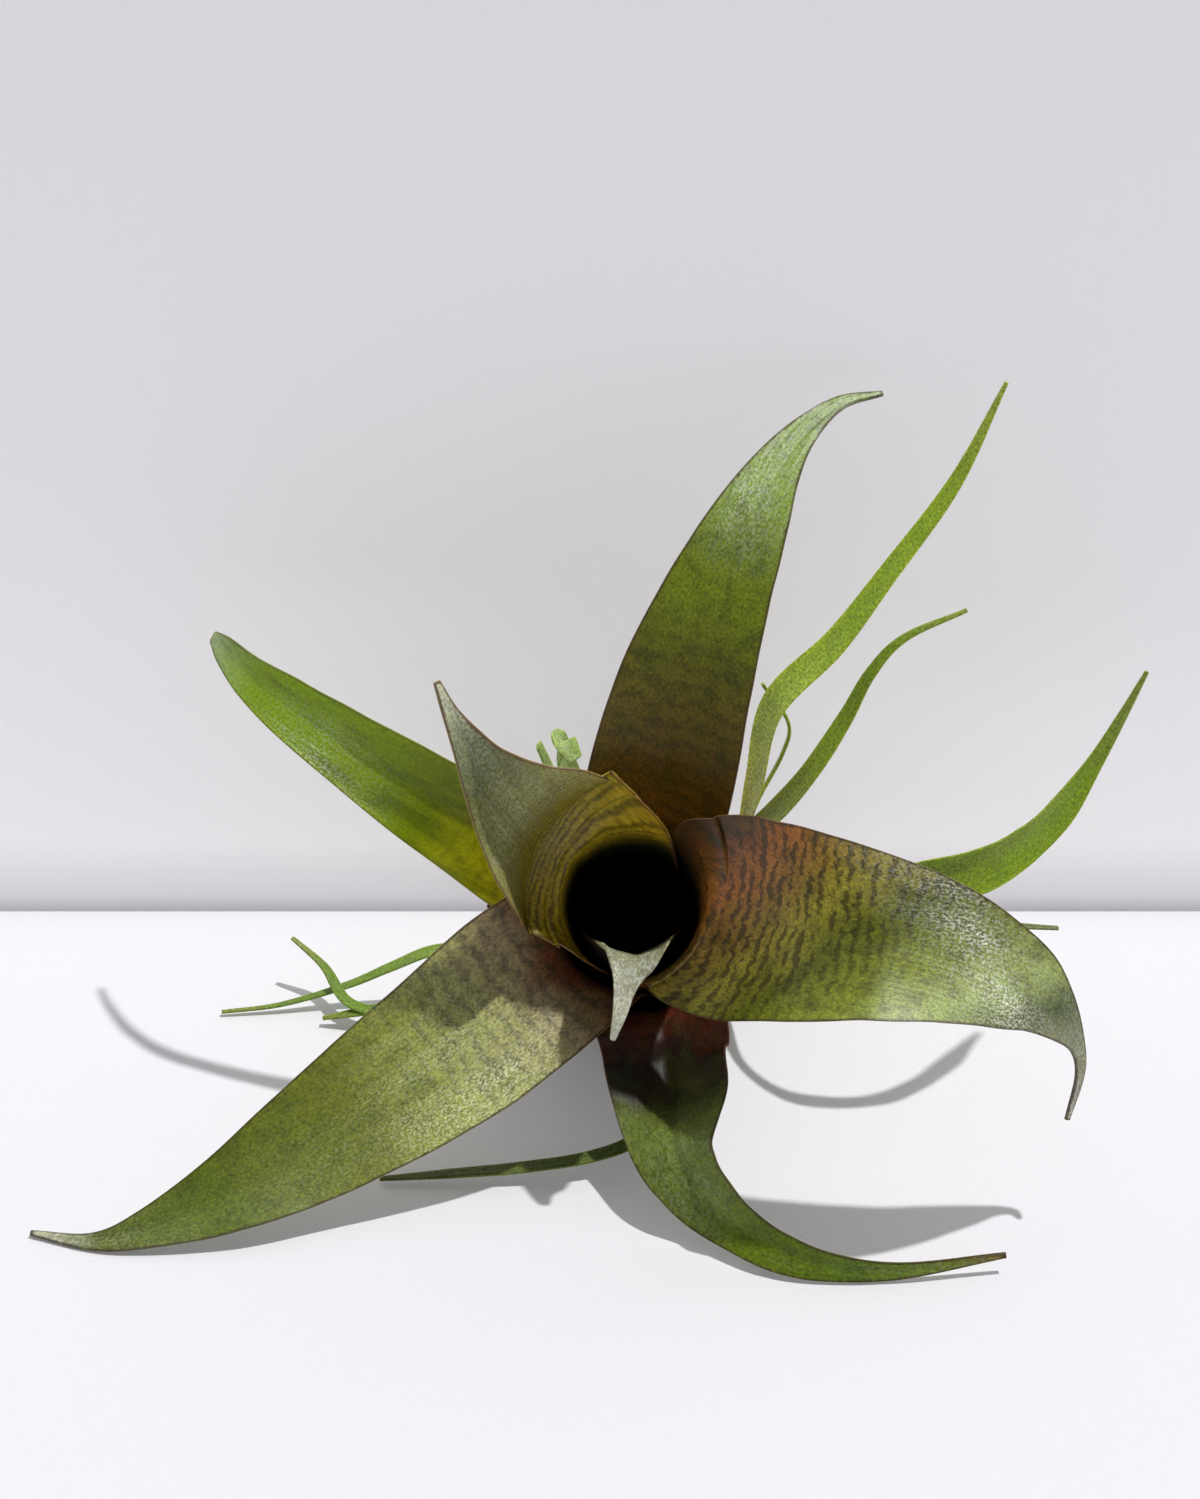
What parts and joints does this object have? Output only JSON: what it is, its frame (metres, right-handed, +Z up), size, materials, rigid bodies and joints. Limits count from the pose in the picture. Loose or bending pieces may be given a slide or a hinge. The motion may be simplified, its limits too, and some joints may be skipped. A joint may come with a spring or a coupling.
{
  "type": "bromeliad",
  "caption": "Small bare-root vriesea lying on a table, with a tube-shaped tank of arching strap leaves turned to the front, narrow grassy pups and wiry roots.",
  "frame": {"origin": "centre of the bounding box at the table's height", "axes": "+X to the right as the tank is seen from the front, +Y from the tank's mouth back to the crown, +Z up from the table; the tank's axis leans 46 degrees from +Z towards -Y"},
  "size_m": [0.153, 0.0811, 0.0992],
  "materials": {
    "leaf_silver": "young leaf, silver scales over green",
    "leaf_olive": "satin leaf, olive with dark cross-bands",
    "leaf_banded": "satin leaf, yellow-olive with purple-brown wavy bands",
    "leaf_fresh": "satin leaf, fresh green with a brown base",
    "leaf_shaded": "satin leaf, olive with a maroon base",
    "pup_leaf": "thin grass-green leaf",
    "crown_root": "dry brown stem and wiry roots"
  },
  "bodies": {
    "root": {"leaf_1_heart": "leaf_silver", "leaf_2_cup": "leaf_olive", "leaf_3_right": "leaf_banded", "leaf_4_left_front": "leaf_olive", "leaf_5_top": "leaf_fresh", "leaf_6_front": "leaf_shaded", "leaf_7_left": "leaf_fresh", "pup_back_right": "pup_leaf", "pup_right": "pup_leaf", "pup_back": "pup_leaf", "pup_left": "pup_leaf", "crown_with_roots": "crown_root"}
  },
  "joints": []
}
